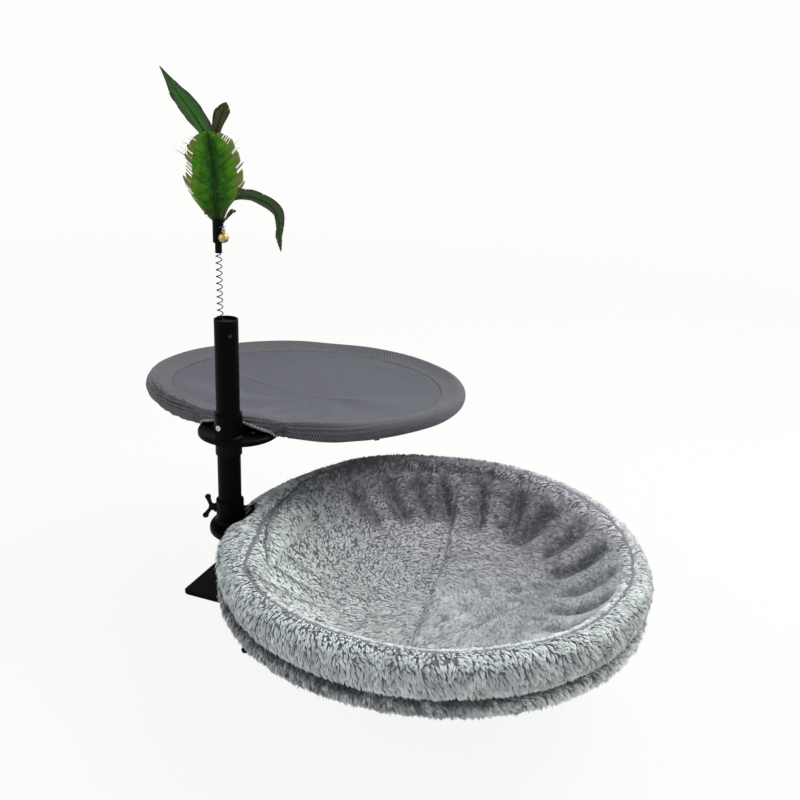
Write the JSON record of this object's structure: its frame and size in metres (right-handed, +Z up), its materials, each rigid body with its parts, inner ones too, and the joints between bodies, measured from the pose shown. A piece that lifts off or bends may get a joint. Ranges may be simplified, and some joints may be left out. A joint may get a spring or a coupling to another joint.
{
  "type": "desk cat hammock",
  "caption": "Desk clamp with an upright post carrying a mesh cat hammock above a plush cat bed, each on a turning, sliding collar, and a spring-mounted feather teaser",
  "frame": {"origin": "on the underside of the top plate's rubber pad, where it rests on the desk, straight below the post's axis", "axes": "+Z up along the post; +X out over the desk's edge, away from the desk; +Y along the desk's edge"},
  "size_m": [0.751, 0.6804, 0.7207],
  "materials": {
    "black_powder_coat": "satin powder coat",
    "black_plastic": "fine moulded grain",
    "black_rubber": "matte",
    "zinc_steel": "bright zinc plate",
    "black_steel": "blackened and oiled",
    "spring_wire": "drawn wire",
    "brass_gilt": "polished gilt",
    "grey_mesh": "knitted air mesh",
    "grey_plush": "long-pile plush with dark roots",
    "green_feather": "dyed feather",
    "olive_feather": "dyed feather with brown edges"
  },
  "bodies": {
    "clamp_and_post": {"clamp_top_plate": "black_powder_coat", "top_pad": "black_rubber", "clamp_spine": "black_powder_coat", "spine_bolts": "black_steel", "lower_jaw": "black_powder_coat", "jaw_bolts": "black_steel", "jaw_nut": "black_powder_coat", "post_bolt": "zinc_steel", "post_foot_plug": "zinc_steel", "lower_post": "black_powder_coat", "post_spigot": "zinc_steel", "upper_post": "black_powder_coat", "post_end_cap": "black_plastic", "cap_screw": "zinc_steel", "teaser_spring": "spring_wire"},
    "pressure_foot": {"pressure_plate": "zinc_steel", "pressure_pad": "black_rubber"},
    "screw": {"clamp_screw": "zinc_steel"},
    "handle_bar": {"tommy_bar": "zinc_steel", "bar_caps": "black_plastic"},
    "lower_collar": {"lower_liner": "black_plastic"},
    "lower_hammock": {"lower_hub_flange": "black_powder_coat", "lower_ring": "black_powder_coat", "lower_clips": "black_powder_coat", "lower_clip_screws": "black_steel", "bed_rim_roll": "grey_plush", "bed_under_band": "grey_plush", "bed_dish": "grey_plush"},
    "wing_bolt_body": {"wing_bolt": "black_plastic"},
    "upper_collar": {"upper_liner": "black_plastic"},
    "upper_hammock": {"upper_hub_flange": "black_powder_coat", "upper_ring": "black_powder_coat", "upper_clips": "black_powder_coat", "upper_clip_screws": "black_steel", "mesh_rim_sleeve": "grey_mesh", "mesh_panel": "grey_mesh", "mesh_tab": "grey_mesh"},
    "set_screw_body": {"collar_set_screw": "zinc_steel"},
    "teaser_head": {"teaser_collar": "black_plastic", "feather_sleeve": "black_rubber", "bell_eye": "black_steel", "feather_long": "green_feather", "feather_olive": "olive_feather", "feather_broad": "green_feather", "feather_droop": "green_feather", "feather_tuft": "olive_feather", "feather_spur": "olive_feather"},
    "hanging_bell": {"bell_link": "brass_gilt", "bell": "brass_gilt", "bell_ball": "black_steel"}
  },
  "joints": [
    {"name": "foot_slide", "type": "slide", "parent": "clamp_and_post", "child": "pressure_foot", "axis": [0, 0, 1], "range_m": [-0.025, 0.004]},
    {"name": "screw_turn", "type": "hinge", "parent": "pressure_foot", "child": "screw", "pos_m": [0.025, 0, -0.0235], "axis": [0, 0, 1], "range_deg": [-6000, 960]},
    {"name": "bar_slide", "type": "slide", "parent": "screw", "child": "handle_bar", "axis": [0, 1, 0], "range_m": [-0.032, 0]},
    {"name": "lower_height", "type": "slide", "parent": "clamp_and_post", "child": "lower_collar", "axis": [0, 0, 1], "range_m": [-0.015, 0.02]},
    {"name": "lower_swivel", "type": "hinge", "parent": "lower_collar", "child": "lower_hammock", "pos_m": [0, 0, 0.0955], "axis": [0, 0, 1], "continuous": true},
    {"name": "wing_bolt_turn", "type": "hinge", "parent": "lower_hammock", "child": "wing_bolt_body", "pos_m": [0, 0, 0.1095], "axis": [-0.9877, -0.1564, 0], "range_deg": [0, 360]},
    {"name": "upper_height", "type": "slide", "parent": "clamp_and_post", "child": "upper_collar", "axis": [0, 0, 1], "range_m": [-0.015, 0.07]},
    {"name": "upper_swivel", "type": "hinge", "parent": "upper_collar", "child": "upper_hammock", "pos_m": [0, 0, 0.21], "axis": [0, 0, 1], "continuous": true},
    {"name": "set_screw_turn", "type": "hinge", "parent": "upper_hammock", "child": "set_screw_body", "pos_m": [0, 0, 0.2238], "axis": [-0.1771, -0.9842, 0], "range_deg": [0, 360]},
    {"name": "teaser_sway", "type": "hinge", "parent": "clamp_and_post", "child": "teaser_head", "pos_m": [-0.00556, -0.00337, 0.372], "axis": [0.518, -0.8554, 0], "range_deg": [-30, 30], "stiffness_Nm_per_rad": 0.06, "deforming": ["teaser_spring"]},
    {"name": "bell_swing", "type": "hinge", "parent": "teaser_head", "child": "hanging_bell", "pos_m": [0.00543, -0.00992, 0.4639], "axis": [-0.512, -0.859, 0], "range_deg": [0, 70]}
  ],
  "couplings": [
    {"joint": "screw_turn", "follows": "foot_slide", "rad_per_m": 4188.8}
  ]
}
